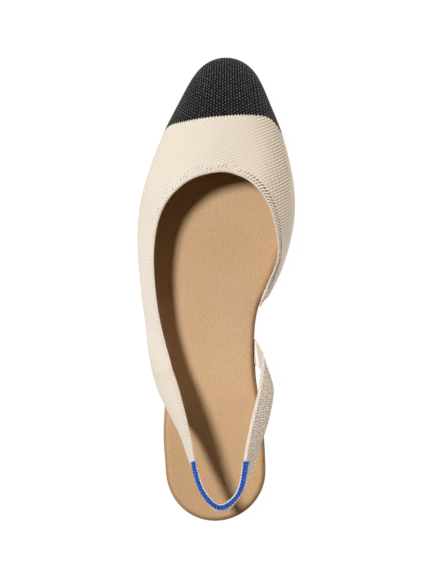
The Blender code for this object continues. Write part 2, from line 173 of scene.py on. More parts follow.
# How far the outsole stands out past the footbed, around its edge. round: 0 at the
# heel's back, 0.25 at the inner waist, 0.5 at the toe, 0.75 at the outer waist
OUTSOLE_EDGE = (
    # round, stands out
    (0.000, -OUTSOLE_RECESS),
    (0.165, -OUTSOLE_RECESS),
    (0.185, 0.1 * OUTSOLE_LEDGE),
    (STRAP_LEDGE[0], 0.2 * OUTSOLE_LEDGE),
    (STRAP_LEDGE[1], 0.6 * OUTSOLE_LEDGE),
    (STRAP_LEDGE[2], 0.1 * OUTSOLE_LEDGE),
    (STRAP_LEDGE[3], -OUTSOLE_RECESS),
    (WAIST_LEDGE[0], -OUTSOLE_RECESS),
    (WAIST_LEDGE[1], 0.1 * OUTSOLE_LEDGE),
    (0.2560, OUTSOLE_LEDGE),
    (0.300, OUTSOLE_LEDGE),
    (0.790, OUTSOLE_LEDGE),
    (0.820, -OUTSOLE_RECESS),
    (1.000, -OUTSOLE_RECESS),
)

# Ribs of the upper whose foot is on the sole, from the inner waist round the toe to the
# outer waist. round places the foot. collar: along is a share of the footbed's length,
# side of half the ball width, rise of the throat's height. belly, shoulder and crown are
# shares of the named sizes, reach a share of the rib
SEATED_RIBS = (
    # round, along, side, rise, belly, shoulder, reach, crown
    (0.2400, 0.470, 0.665, 0.235, 0.20, 0.20, 0.33, 0.00),
    (0.2560, 0.518, 0.785, 0.395, 0.60, 0.32, 0.33, 0.05),
    (0.2724, 0.572, 0.920, 0.615, 0.66, 0.55, 0.33, 0.15),
    (0.2886, 0.622, 0.915, 0.760, 0.75, 0.85, 0.32, 0.35),
    (0.3120, 0.678, 0.815, 0.880, 0.93, 1.10, 0.30, 0.75),
    (0.3370, 0.714, 0.690, 0.942, 0.97, 1.15, 0.30, 0.95),
    (0.3647, 0.737, 0.560, 0.972, 0.90, 1.10, 0.35, 0.95),
    (0.3976, 0.750, 0.430, 0.988, 0.80, 1.00, 0.42, 0.90),
    (0.4361, 0.758, 0.285, 0.997, 0.70, 0.92, 0.46, 0.85),
    (0.4680, 0.761, 0.201, 0.999, 0.67, 0.90, 0.46, 0.82),
    (0.5000, 0.762, 0.115, 1.000, 0.66, 0.90, 0.46, 0.80),
    (0.5320, 0.761, 0.030, 0.999, 0.67, 0.90, 0.46, 0.82),
    (0.5639, 0.759, -0.055, 0.997, 0.68, 0.92, 0.46, 0.85),
    (0.6024, 0.753, -0.215, 0.990, 0.78, 1.00, 0.42, 0.90),
    (0.6353, 0.741, -0.385, 0.972, 0.88, 1.05, 0.36, 0.90),
    (0.6630, 0.721, -0.545, 0.940, 0.88, 1.05, 0.32, 0.85),
    (0.6880, 0.689, -0.705, 0.893, 0.72, 1.00, 0.32, 0.65),
    (0.7114, 0.640, -0.825, 0.840, 0.82, 0.92, 0.33, 0.45),
    (0.7341, 0.572, -0.875, 0.808, 0.84, 0.85, 0.34, 0.30),
    (0.7564, 0.495, -0.845, 0.800, 0.92, 0.88, 0.34, 0.28),
    (0.7788, 0.418, -0.760, 0.825, 1.10, 1.00, 0.34, 0.38),
    (0.7985, 0.350, -0.635, 0.895, 1.22, 1.20, 0.34, 0.55),
)

# Ribs of the free strap, from the outer waist round the heel to the inner waist. The
# upper edge: along and side as above, rise as a share of the strap's height. width is a
# share of the strap's; out and back say which way the lower edge lies from the upper;
# belly is a share of the wall's
STRAP_RIBS = (
    # along, side, rise, width, out, back, belly
    (0.3330, -0.594, 0.722, 2.43, -0.340, 0.020, 0.92),
    (0.3140, -0.550, 0.750, 2.40, -0.390, 0.000, 0.64),
    (0.2780, -0.475, 0.808, 2.18, -0.440, -0.050, 0.42),
    (0.2450, -0.418, 0.858, 2.02, -0.430, -0.120, 0.28),
    (0.2090, -0.362, 0.900, 1.65, -0.390, -0.150, 0.18),
    (0.1770, -0.316, 0.933, 1.33, -0.310, -0.080, 0.12),
    (0.1370, -0.274, 0.967, 1.12, -0.210, 0.040, 0.08),
    (0.0990, -0.213, 0.990, 1.05, -0.140, 0.080, 0.08),
    (0.0640, -0.098, 1.000, 1.02, -0.100, 0.210, 0.08),
    (0.0410, 0.108, 1.000, 0.99, 0.000, 0.280, 0.08),
    (0.0630, 0.335, 0.998, 1.01, 0.050, 0.230, 0.08),
    (0.0980, 0.428, 0.988, 1.05, 0.240, 0.100, 0.08),
    (0.1370, 0.460, 0.967, 1.11, 0.370, 0.060, 0.08),
    (0.1800, 0.500, 0.934, 1.15, 0.450, 0.070, 0.10),
    (0.2330, 0.566, 0.853, 1.18, 0.490, 0.240, 0.14),
    (0.2880, 0.645, 0.708, 1.14, 0.465, 0.400, 0.16),
    (0.3290, 0.683, 0.530, 1.04, 0.410, 0.600, 0.16),
    (0.3600, 0.690, 0.375, 0.98, 0.160, 0.760, 0.12),
    (0.3820, 0.640, 0.240, 0.98, 0.040, 0.930, 0.06),
)
# The strap's end on the sole, as places round the footbed
STRAP_END = (0.2170, 0.1986)

# Border of the black cap. across: along the knit from the throat's middle line, to the
# inner side; along: from the footbed's heel end, both in millimetres
CAP_BORDER = (
    # across, along
    (-60.0, 209.6),
    (-40.0, 215.0),
    (-36.0, 216.8),
    (-28.1, 218.6),
    (-19.6, 219.6),
    (-10.6, 220.9),
    (-3.0, 221.7),
    (4.1, 222.3),
    (12.3, 222.8),
    (20.4, 222.8),
    (24.6, 222.3),
    (27.6, 220.8),
    (29.9, 218.6),
    (31.8, 216.1),
    (35.5, 211.6),
    (44.8, 204.6),
)


# Shape of the shoe, as in the solids


def rows(table):
    """The columns of a table, as arrays."""
    return np.array(table, float).T


def spline(knots, values, at):
    """A natural cubic spline through values, read at the given places."""
    knots = np.asarray(knots, float)
    values = np.asarray(values, float)
    flat = values.reshape(len(knots), -1)
    step = np.diff(knots)
    slope = np.diff(flat, axis=0) / step[:, None]
    count = len(knots)
    system = np.eye(count)
    right = np.zeros_like(flat)
    for i in range(1, count - 1):
        system[i, i - 1] = step[i - 1]
        system[i, i] = 2 * (step[i - 1] + step[i])
        system[i, i + 1] = step[i]
        right[i] = 6 * (slope[i] - slope[i - 1])
    bend = np.linalg.solve(system, right)
    at = np.atleast_1d(np.asarray(at, float))
    cell = np.clip(np.searchsorted(knots, at) - 1, 0, count - 2)
    width = step[cell][:, None]
    near = (knots[cell + 1] - at)[:, None] / width
    far = 1 - near
    found = near * flat[cell] + far * flat[cell + 1]
    found += ((near**3 - near) * bend[cell] + (far**3 - far) * bend[cell + 1]) * width**2 / 6
    return found.reshape((len(at),) + values.shape[1:])


def smooth(value, start=0, end=1):
    """0 up to the start, 1 from the end on, and an even S between."""
    share = np.clip((value - start) / (end - start), 0, 1)
    return share * share * (3 - 2 * share)


def unit(vectors):
    """Vectors of length 1."""
    return vectors / np.linalg.norm(vectors, axis=-1, keepdims=True)


def run_along(line):
    """How far along a line of points each of them lies."""
    return np.concatenate([[0], np.cumsum(np.linalg.norm(np.diff(line, axis=0), axis=1))])


def footbed_edge(around):
    """Points (x, y) on the footbed's outline; y is 0 at the heel's end."""
    around = np.atleast_1d(np.asarray(around, float))
    along = (1 - np.cos(2 * math.pi * around)) / 2
    places, widths, axes = rows(FOOTBED_SECTIONS)
    half = spline(places, widths, along) / 2
    axis = spline(places, axes, along) * BALL_WIDTH
    from_heel = np.clip(1 - along * FOOTBED_LENGTH / HEEL_ROUND, 0, 1)
    from_toe = np.clip(1 - (1 - along) * FOOTBED_LENGTH / TOE_ROUND, 0, 1)
    rounding = np.sqrt(np.clip(1 - from_heel**2, 0, 1) * np.clip(1 - from_toe**2, 0, 1))
    side = np.where(np.mod(around, 1) < 0.5, 1, -1)
    return np.stack([axis + side * half * rounding, along * FOOTBED_LENGTH], axis=-1)


def footbed_outward(around):
    """Unit vectors (x, y) that point out of the footbed's outline."""
    around = np.atleast_1d(np.asarray(around, float))
    nudge = 1e-4
    run = footbed_edge(around + nudge) - footbed_edge(around - nudge)
    return unit(np.stack([run[:, 1], -run[:, 0]], axis=-1))


def beside_footbed(around, distance):
    """Points (x, y) at a distance outside the footbed's outline."""
    distance = np.broadcast_to(distance, np.shape(np.atleast_1d(around)))
    return footbed_edge(around) + footbed_outward(around) * distance[:, None]


def toe_lift(y):
    """How far the toe curls up off the floor."""
    past_ball = (y / FOOTBED_LENGTH - TOE_SPRING_FROM) / (1 - TOE_SPRING_FROM)
    return TOE_SPRING * np.clip(past_ball, 0, None) ** 1.8


def heel_lift(y):
    """How far the heel raises the outsole's top over the forefoot's."""
    return HEEL_LIFT * (1 - smooth(y / FOOTBED_LENGTH, *HEEL_LIFT_FALLS))


def outsole_top(y):
    """Height of the outsole's top face."""
    return OUTSOLE_THICKNESS + heel_lift(y) + toe_lift(y)


def outsole_bottom(y):
    """Height of the outsole's underside: on the floor under heel and ball."""
    past_heel = np.clip((y - HEEL_LENGTH) / HEEL_BREAST_RUN, 0, 1)
    return heel_lift(y) * past_heel + toe_lift(y)


def footbed_thickness(y):
    """Thick under the heel, thin under the ball."""
    to_ball = smooth(y / FOOTBED_LENGTH, *FOOTBED_THINS)
    return FOOTBED_HEEL_THICKNESS + (FOOTBED_BALL_THICKNESS - FOOTBED_HEEL_THICKNESS) * to_ball


def footbed_top(x, y):
    """Height of the footbed's top, with its heel cup and arch."""
    along = np.clip(y / FOOTBED_LENGTH, 0, 1)
    places, widths, axes = rows(FOOTBED_SECTIONS)
    half = (spline(places, widths, along.ravel()) / 2).reshape(along.shape)
    axis = (spline(places, axes, along.ravel()) * BALL_WIDTH).reshape(along.shape)
    across = np.clip((x - axis) / half, -1, 1)
    in_heel = 1 - smooth(along, *HEEL_CUP_FADES)
    in_arch = smooth(along, *ARCH_STARTS) * (1 - smooth(along, *ARCH_ENDS))
    cup = -HEEL_CUP_DEPTH * in_heel * (1 - across**2)
    arch = ARCH_RISE * in_arch * smooth(across)
    return outsole_top(y) + GAP + footbed_thickness(y) + cup + arch


def seated_foot(around):
    """Foot of the upper's outer face: beside the footbed, just off the outsole."""
    foot = beside_footbed(around, GAP + WALL)
    return np.column_stack([foot, outsole_top(foot[:, 1]) + GAP])


def upper_controls():
    """Four control points for each rib of the upper, and each rib's place round the sole
    while its foot is seated."""
    around, along, side, rise, belly, shoulder, reach, crown = rows(SEATED_RIBS)
    foot = seated_foot(around)
    top = np.column_stack(
        [side * BALL_WIDTH / 2, along * FOOTBED_LENGTH, rise * THROAT_HEIGHT]
    )
    up = np.array([0, 0, 1])
    out = np.column_stack([footbed_outward(around), np.zeros(len(around))])
    low_pull = foot + out * belly[:, None] * WALL_BELLY + up * (shoulder * SHOULDER_HEIGHT)[:, None]
    high_pull = top + (foot - top) * reach[:, None] + up * (crown * VAMP_CROWN)[:, None]
    seated = np.stack([foot, low_pull, high_pull, top], axis=1)

    along, side, rise, width, out, back, belly = rows(STRAP_RIBS)
    top = np.column_stack(
        [side * BALL_WIDTH / 2, along * FOOTBED_LENGTH, rise * STRAP_HEIGHT]
    )
    down = np.sqrt(np.clip(1 - out**2 - back**2, 0, 1))
    across = np.column_stack([out, -back, -down])
    foot = top + across * (width * STRAP_WIDTH)[:, None]
    ends = seated_foot(np.array(STRAP_END))
    top = np.vstack([top, ends[0]])
    foot = np.vstack([foot, ends[1]])
    outward = unit(np.cross(np.gradient(top, axis=0), top - foot))
    bulge = outward * (np.append(belly, 0) * WALL_BELLY)[:, None]
    low_pull = foot + (top - foot) / 3 + bulge
    high_pull = top + (foot - top) / 3 + bulge / 2
    strap = np.stack([foot, low_pull, high_pull, top], axis=1)
    return np.concatenate([seated, strap]), around


def upper_ribs(steps):
    """Control points of the ribs, so many to each row of the tables, and how many of
    them are seated on the sole."""
    controls, around = upper_controls()
    foot_run = np.linalg.norm(np.diff(controls[:, 0], axis=0), axis=1)
    top_run = np.linalg.norm(np.diff(controls[:, 3], axis=0), axis=1)
    knots = np.concatenate([[0], np.cumsum((foot_run + top_run) / 2)])
    stations = np.concatenate(
        [np.linspace(near, far, steps, endpoint=False) for near, far in zip(knots, knots[1:])]
        + [knots[-1:]]
    )
    ribs = spline(knots, controls, stations)
    seated = stations <= knots[len(around) - 1]
    places = spline(knots[: len(around)], around, stations[seated])
    ribs[seated, 1] += seated_foot(places) - ribs[seated, 0]
    ribs[seated, 0] = seated_foot(places)
    return ribs, stations, int(seated.sum())


def rib_curve(rib, share):
    """Points on a rib at shares of its parameter."""
    share = np.asarray(share)[:, None]
    rest = 1 - share
    return (
        rest**3 * rib[0]
        + 3 * rest**2 * share * rib[1]
        + 3 * rest * share**2 * rib[2]
        + share**3 * rib[3]
    )


# The knit's own coordinates: ribs for each row of the tables, and a coarse grid to solve
RIB_DENSITY = 14
COARSE_RIBS = 4
COARSE_ROWS = 14


def rib_points(rib, from_foot):
    """Points on a rib at shares of its length, from foot to rim."""
    fine = np.linspace(0, 1, 121)
    length = run_along(rib_curve(rib, fine))
    return rib_curve(rib, np.interp(np.asarray(from_foot) * length[-1], length, fine))


def rib_lengths(ribs):
    """Length of each rib."""
    fine = np.linspace(0, 1, 61)
    return np.array(
        [np.linalg.norm(np.diff(rib_curve(rib, fine), axis=0), axis=1).sum() for rib in ribs]
    )


def face_normals(grid):
    """Outward unit normals of a grid of points, rib by rib and foot to rim."""
    return unit(np.cross(np.gradient(grid, axis=0), np.gradient(grid, axis=1)))


def wale_directions(grid, seated):
    """Which way the knit's columns run: towards the toe on the vamp, along the strap
    behind it."""
    normal = face_normals(grid)
    nose = smooth(normal[..., 1], 0.2, 0.9)
    to_toe = np.zeros_like(grid)
    to_toe[..., 1] = 1
    to_toe[..., 2] = -nose
    along = -unit(np.gradient(grid, axis=0))
    outer_side = (np.arange(len(grid)) > seated * 0.6)[:, None]
    strap = np.where(outer_side, 1 - smooth(grid[..., 1], 0.110, 0.150), 0)[..., None]
    strap[seated:] = 1
    way = to_toe * (1 - strap) + along * strap
    way -= normal * (way * normal).sum(axis=-1, keepdims=True)
    return unit(way), normal


def knit_coordinates(steps, stations_wanted, shares_wanted):
    """Two lengths over the upper that follow its knit: across the columns and along them.
    They are found on a coarse grid so that their steps best match the knit's directions."""
    ribs, stations, seated = upper_ribs(steps)
    shares = np.linspace(0, 1, COARSE_ROWS)
    grid = np.array([rib_points(rib, shares) for rib in ribs])
    way, normal = wale_directions(grid, seated)
    side = np.cross(way, normal)
    count, levels = grid.shape[:2]
    index = np.arange(count * levels).reshape(count, levels)
    system = np.zeros((count * levels, count * levels))
    right = np.zeros((count * levels, 2))
    for a, b in (((slice(None, -1), slice(None)), (slice(1, None), slice(None))),
                 ((slice(None), slice(None, -1)), (slice(None), slice(1, None)))):
        run = (grid[b] - grid[a]).reshape(-1, 3)
        length = np.linalg.norm(run, axis=1)
        wanted = np.stack(
            [
                (run * ((side[a] + side[b]) / 2).reshape(-1, 3)).sum(axis=1),
                (run * ((way[a] + way[b]) / 2).reshape(-1, 3)).sum(axis=1),
            ],
            axis=1,
        )
        weight = 1 / length
        first, second = index[a].ravel(), index[b].ravel()
        np.add.at(system, (first, first), weight)
        np.add.at(system, (second, second), weight)
        np.add.at(system, (first, second), -weight)
        np.add.at(system, (second, first), -weight)
        np.add.at(right, first, -wanted * weight[:, None])
        np.add.at(right, second, wanted * weight[:, None])
    middle = index[np.argmin(abs(stations - stations[seated // 2])), -1]
    system[middle, middle] += 1e3 * abs(system).max()
    found = np.linalg.solve(system, right).reshape(count, levels, 2)
    by_station = spline(stations, found, stations_wanted)
    dense = np.array([spline(shares, line, at) for line, at in zip(by_station, shares_wanted)])
    return dense * 1000


# Meshes


def mesh_object(name, points, faces, material, sharp=50):
    """A closed mesh object, its faces turned outwards."""
    mesh = bpy.data.meshes.new(name)
    mesh.from_pydata([tuple(p) for p in np.asarray(points) - BOX_MIDDLE], [], faces)
    work = bmesh.new()
    work.from_mesh(mesh)
    bmesh.ops.recalc_face_normals(work, faces=work.faces)
    if work.calc_volume(signed=True) < 0:
        bmesh.ops.reverse_faces(work, faces=work.faces)
    work.to_mesh(mesh)
    work.free()
    mesh.shade_smooth()
    mesh.set_sharp_from_angle(angle=math.radians(sharp))
    mesh.materials.append(material)
    made = bpy.data.objects.new(name, mesh)
    bpy.context.scene.collection.objects.link(made)
    return made


def give(made, name, vectors):
    """Stores a vector for each point of a piece, for its material to read."""
    layer = made.data.attributes.new(name, "FLOAT_VECTOR", "POINT")
    layer.data.foreach_set("vector", np.ascontiguousarray(vectors, np.float32).ravel())


def end_places(seated, shares):
    """Where round the footbed each point of the upper stands, if it stands on the sole."""
    around = rows(SEATED_RIBS)[0]
    count, levels = shares.shape
    places = np.empty((count, levels))
    index = np.arange(count) / RIB_DENSITY
    places[:] = np.interp(index, np.arange(len(around)), around)[:, None]
    high, low = STRAP_END
    places[seated:] = low + (high - low) * shares[seated:]
    return places


# Distances from the rim of the rows in the welt, in millimetres, and rows below it
WELT_ROWS = (0.60, 0.90, 1.20, 1.60, 2.00, 2.50, 3.00, 3.60, 4.20)
BODY_ROWS = 34
CORD_STEPS = 7


def leant(ribs, seated):
    """The ribs with the heel's part of the strap turned in below, as the photo has it."""
    along, outer_side, inner_side = rows(HEEL_LEAN)
    place = ribs[:, 3, 1] / FOOTBED_LENGTH
    turn = np.where(
        np.arange(len(ribs)) < seated + (len(ribs) - seated) * 0.5,
        np.interp(place, along, outer_side),
        -np.interp(place, along, inner_side),
    )
    turn[:seated] = 0
    turn = np.convolve(np.pad(turn, 6, mode="edge"), np.ones(13) / 13, mode="valid")
    below = np.array([1, 2 / 3, 1 / 3, 0])
    ribs = ribs.copy()
    ribs[..., 0] += turn[:, None] * STRAP_WIDTH * below
    return ribs


# How far the looks set the collar's front back, from where on along the shoe, and over how
# many ribs the line evens out where the outer side leaves the sole
FRONT_BACK = 0.0011
FRONT_FROM = (0.165, 0.190)
EVEN_REACH = 16


def eased(ribs, seated):
    """The ribs with the collar's front a little further back, and with an even line
    where the outer side leaves the sole."""
    ribs = ribs.copy()
    front = smooth(ribs[:seated, 3, 1], *FRONT_FROM)
    ribs[:seated, 3, 1] -= FRONT_BACK * front
    ribs[:seated, 2, 1] -= 0.0006 * front
    reach = EVEN_REACH
    kernel = np.hanning(2 * reach + 1)
    kernel /= kernel.sum()
    near = np.arange(seated - 2 * reach, seated + 2 * reach)
    blend_in = np.clip(1.6 * np.hanning(len(near)), 0, 1)[:, None]
    for number in (0, 1, 2):
        for axis in (0, 1, 2):
            line = ribs[near[0] - reach : near[-1] + reach + 1, number, axis]
            even = np.convolve(line, kernel, mode="valid")
            ribs[near, number, axis] += (even - ribs[near, number, axis]) * blend_in[:, 0]
    return ribs


def welt_grid(ribs):
    """Points on the upper's outer face from the foot to just below the rim, their shares
    of the rib's length and their distances from the rim in millimetres, where a rib too
    short for the welt counts as if it were longer."""
    lengths = rib_lengths(ribs)
    welt = np.array(WELT_ROWS) / 1000
    shrink = np.minimum(1, 0.4 * lengths / welt[-1])
    from_rim = []
    for length, scale in zip(lengths, shrink):
        lower = np.linspace(length, welt[-1] * scale, BODY_ROWS + 1)[:-1]
        from_rim.append(np.concatenate([lower, welt[::-1] * scale]))
    from_rim = np.array(from_rim)
    shares = 1 - from_rim / lengths[:, None]
    face = np.array([rib_points(rib, share) for rib, share in zip(ribs, shares)])
    return face, shares, from_rim / shrink[:, None] * 1000


# Where the wall thins: millimetres from the collar's rim, millimetres under the trim, and
# metres on each side of the trim's end
RIM_THINS = (0.8, 4.2)
SEAT_ENDS = (3.2, 4.0)
TRIM_FADES = 0.0004


def wall_faces(face, normal, edge, top, arc_length, seated):
    """Outer and inner face. The collar's wall thins to its rim, the strap's to its end,
    and more where the trim sits."""
    on_strap = np.arange(len(top)) >= seated
    trimmed = (on_strap * smooth(TRIM_REACH - top[:, 1], -TRIM_FADES, TRIM_FADES))[:, None]
    from_end = arc_length[-1] - arc_length
    near_end = 1 - smooth(from_end, 0, END_THINS)[:, None]
    collar = 1 - smooth(arc_length, *arc_length[[seated, seated + RIB_DENSITY]])[:, None]
    wall = WALL + (RIM_WALL - WALL) * (1 - smooth(edge, *RIM_THINS)) * collar
    wall = wall + (END_WALL - wall) * near_end
    seat = (1 - smooth(edge, *SEAT_ENDS)) * trimmed
    wall = wall + ((WALL + TRIM_SEAT) / 2 + TRIM_FOLD - wall) * seat
    inner = face - normal * (WALL + seat * TRIM_FOLD)[..., None]
    return inner + normal * wall[..., None], inner


# The upper's inner face lies on the footbed's roll up to this height over it, along the
# first stretch of the rim and along the strap's last one; how near it comes, and how far
# the outer face follows it
LIES_ON = (0.0002, 0.0030)
START_LIES = (0.03, 0.06)
END_LIES = (0, 0.007)
TOUCH_GAP = 0.0001
OUTER_TAPERS = 0.62


def draw_in(outer, inner, shares, arc_length, seated):
    """Tapers both ends of the upper to the footbed's edge, so that nothing dark shows
    between them."""
    places = end_places(seated, shares)
    touch = beside_footbed(places.ravel(), TOUCH_GAP).reshape(places.shape + (2,))
    roll = footbed_top(touch[..., 0], touch[..., 1]) - ROLL_DROP * 0.5
    from_end = arc_length[-1] - arc_length
    on_sole = (np.arange(len(outer)) < seated)[:, None]
    low = 1 - smooth(inner[..., 2] - roll, *LIES_ON)
    start_line = (1 - smooth(arc_length, *START_LIES))[:, None]
    end_line = (1 - smooth(from_end, *END_LIES))[:, None]
    held = np.maximum(low * start_line * on_sole, end_line)
    inner[..., :2] += (touch - inner[..., :2]) * held[..., None]
    inner[..., 2] += (np.maximum(inner[..., 2], roll) - inner[..., 2]) * end_line
    taper = 1 - smooth(np.minimum(arc_length, from_end), 0, END_TAPERS)
    outer[..., :2] += (touch - outer[..., :2]) * (taper * OUTER_TAPERS)[:, None, None]


def rim_arc(outer, inner, up, height, turns):
    """The rim's half circle from the outer face over to the inner one."""
    middle = (outer + inner) / 2
    reach = (outer - inner) / 2
    height = np.minimum(np.linalg.norm(reach, axis=1), height)
    return np.stack(
        [
            middle + reach * math.cos(turn) + up * (height * math.sin(turn))[:, None]
            for turn in turns
        ],
        axis=1,
    )


def upper_faces(count, levels):
    """Faces between the rings of neighbouring ribs, and over the first and last one."""
    faces = []
    for i in range(count - 1):
        near, far = i * levels, (i + 1) * levels
        for j in range(levels):
            k = (j + 1) % levels
            faces.append((near + j, far + j, far + k, near + k))
    for i in (0, count - 1):
        for j in range(levels // 2):
            quad = dict.fromkeys((j, j + 1, levels - 2 - j, levels - 1 - j))
            faces.append(tuple(i * levels + k for k in quad))
    return faces


def all_round(grid):
    """A grid of values on the outer face, carried over the rim and down the inner face."""
    rim = np.repeat(grid[:, -1:], CORD_STEPS, axis=1)
    return np.concatenate([grid, rim, grid[:, ::-1]], axis=1)


# The outer side's knit follows the rim from where the rim is this far along the shoe, and
# its columns widen by a share over a stretch of the strap. It changes over a length on
# each side of its start
OUTER_MEETS = 0.010
OUTER_WIDENS = 0.20
OUTER_STRETCH = (0.100, 0.160)
MEETS_OVER = 0.018


def knit_over(ring, edge, top, arc_length, stations, shares, seated):
    """The knit's coordinates on each point of the upper, and how far it lies beyond the
    black cap's border."""
    knit = knit_coordinates(COARSE_RIBS, stations, shares)
    knit[..., 0] -= np.clip(knit[..., 0] - SIDE_FROM, 0, None) * SIDE_WIDENS
    outer_line = np.flatnonzero(top[:seated, 0] < -0.010)
    meet = outer_line[np.argmin(abs(top[outer_line, 1] - BOX_MIDDLE[1] - OUTER_MEETS))]
    run = (arc_length - arc_length[meet])[:, None]
    widens = 1 - OUTER_WIDENS * smooth(run, *OUTER_STRETCH)
    by_rim = np.stack([edge * -widens, run * -1000 + 0 * edge], axis=2) + knit[meet, -1]
    knit += (by_rim - knit) * smooth(run, -MEETS_OVER, MEETS_OVER)[..., None]
    knit = all_round(knit)
    across, along = rows(CAP_BORDER)
    reached = np.clip(knit[..., 0], across[0], across[-1])
    border = spline(across, along, reached.ravel()).reshape(reached.shape)
    cap = ring[..., 1] * 1000 - border
    return np.concatenate([knit, cap[..., None]], axis=2)


# How the grains lean on the strap and on the collar's outer side, and between which bounds
# elsewhere
STRAP_LEANS = 0.15
OUTER_LEANS = -0.95
LEAN_BOUNDS = (-0.2, 0.55)


def knit_kinds(ring, face, top, arc_length, ladder, seated):
    """How the grains lean, how far each face turns away from the lamp, where the material paints
    shade in the gaps, and where the collar's front is.
    """
    on_strap = np.arange(len(top)) >= seated
    turned = all_round(face_normals(face))[..., 0]
    lean = np.clip(0.2 + ring[..., 0] * 10, *LEAN_BOUNDS)
    quarter = smooth(-ring[..., 0], 0.010, 0.024) * (1 - smooth(ring[..., 1], 0.150, 0.185))
    lean = lean + (OUTER_LEANS - lean) * quarter * ~on_strap[:, None]
    lean = np.where(on_strap[:, None], STRAP_LEANS, lean)
    # Faces turned to the inner side, away from the lamp: deeper bumps and painted shade in the gaps
    # there
    steep = smooth(turned, 0.38, 0.82) * (1 - 0.72 * smooth(turned, 0.88, 0.97))
    steep = steep * smooth(arc_length, 0.025, 0.075)[:, None]
    inner_strap = on_strap[:, None] * smooth(turned, 0.10, 0.60)
    back = on_strap * (1 - smooth(top[:, 1], 0.012, 0.040))
    inner_strap = np.maximum(inner_strap, back[:, None] * 0.75)
    away_from_lamp = np.maximum(steep * ~on_strap[:, None] * 0.88, inner_strap * 0.95)
    away_from_lamp[:, -face.shape[1] :] *= 0.12
    front = smooth(top[:, 1], 0.150, 0.176) * ~on_strap * (1 - ladder)
    return lean, away_from_lamp, front


def make_upper(material):
    """The knitted wall, outside and in, with its rounded rim."""
    ribs, stations, seated = upper_ribs(RIB_DENSITY)
    ribs = eased(leant(ribs, seated), seated)
    face, shares, edge = welt_grid(ribs)
    top = ribs[:, 3]
    normal = face_normals(np.concatenate([face, top[:, None]], axis=1))[:, :-1]
    arc_length = run_along(top)
    outer, inner = wall_faces(face, normal, edge, top, arc_length, seated)
    draw_in(outer, inner, shares, arc_length, seated)
    turns = np.linspace(0, math.pi, CORD_STEPS + 2)[1:-1]
    last = top - face[:, -1]
    arc = rim_arc(outer[:, -1], inner[:, -1], unit(last), np.linalg.norm(last, axis=1), turns)
    ring = np.concatenate([outer, arc, inner[:, ::-1]], axis=1)
    count, levels = ring.shape[:2]
    made = mesh_object("knit_upper", ring.reshape(-1, 3), upper_faces(count, levels), material)

    def spread(values):
        return np.repeat(values[:, None], levels, axis=1)

    give(made, "knit", knit_over(ring, edge, top, arc_length, stations, shares, seated))

    # Along the rim, over it, and which side of the collar has a ladder
    on_strap = np.arange(count) >= seated
    over = np.repeat(0.6 * (1 - 2 * turns[None] / math.pi), count, axis=0)
    signed = np.concatenate([edge, over, -edge[:, ::-1]], axis=1)
    ladder = smooth(top[:, 0], 0.011, 0.023) * ~on_strap
    give(made, "rim", np.stack([spread(arc_length * 1000), signed, spread(ladder)], axis=2))

    lean, away_from_lamp, front = knit_kinds(ring, face, top, arc_length, ladder, seated)
    give(made, "kind", np.stack([lean, away_from_lamp, spread(front)], axis=2))

    # Which parts lie on the strap, which on the collar's outer side, and which at the toe
    outer_rim = smooth(-top[:, 0], 0.004, 0.014) * (1 - front)
    tip = smooth(ring[..., 1], 0.225, 0.250)
    give(made, "zone", np.stack([spread(on_strap * 1.0), spread(outer_rim), tip], axis=2))
    return made


def tube_faces(base, sections, around):
    """Quads between neighbouring rings of points."""
    faces = []
    for level in range(sections - 1):
        low, high = base + level * around, base + (level + 1) * around
        for i in range(around):
            j = (i + 1) % around
            faces.append((low + i, low + j, high + j, high + i))
    return faces


def end_faces(base, sections, around):
    """The two flat ends of a tube."""
    return [tuple(base + level * around + i for i in range(around)) for level in (0, sections - 1)]


def slab(name, rings, top_height, bottom_height, cross_steps, material):
    """A closed slab from rings of points, lowest first, that share their places round
    the edge. The top and bottom are filled by straight cross lines at given heights."""
    count = len(rings[0])
    points = [tuple(p) for ring in rings for p in ring]
    faces = tube_faces(0, len(rings), count)
    for level, height in ((0, bottom_height), (len(rings) - 1, top_height)):
        ring = rings[level]
        start = level * count
        lines = []
        for i in range(1, count // 2):
            near, far = ring[i], ring[count - i]
            share = np.arange(1, cross_steps)[:, None] / cross_steps
            flat = near[:2] + (far[:2] - near[:2]) * share
            heights = height(flat[:, 0], flat[:, 1])
            line = [start + i, *range(len(points), len(points) + cross_steps - 1)]
            line.append(start + count - i)
            points += [(x, y, z) for (x, y), z in zip(flat, heights)]
            lines.append(line)
        for near, far in zip(lines, lines[1:]):
            for k in range(cross_steps):
                faces.append((near[k], near[k + 1], far[k + 1], far[k]))
        for tip, line in ((start, lines[0]), (start + count // 2, lines[-1])):
            for k in range(cross_steps):
                faces.append((tip, line[k], line[k + 1]))
    return mesh_object(name, np.array(points), faces, material)


def loop_places(steps):
    """Places round the footbed for the edges of footbed and outsole, with more at the
    heel breast and where the ledge starts and ends."""
    half = list(np.arange(1, steps // 2) / steps)
    breast = [
        math.acos(1 - 2 * y / FOOTBED_LENGTH) / (2 * math.pi)
        for y in (HEEL_LENGTH, HEEL_LENGTH + HEEL_BREAST_RUN)
    ]
    for place in (*breast, *STRAP_LEDGE, *WAIST_LEDGE):
        half = [p for p in half if abs(p - place) > 0.3 / steps] + [place]
    half = sorted(half)
    return np.array([0.0] + half + [0.5] + [1 - p for p in reversed(half)])


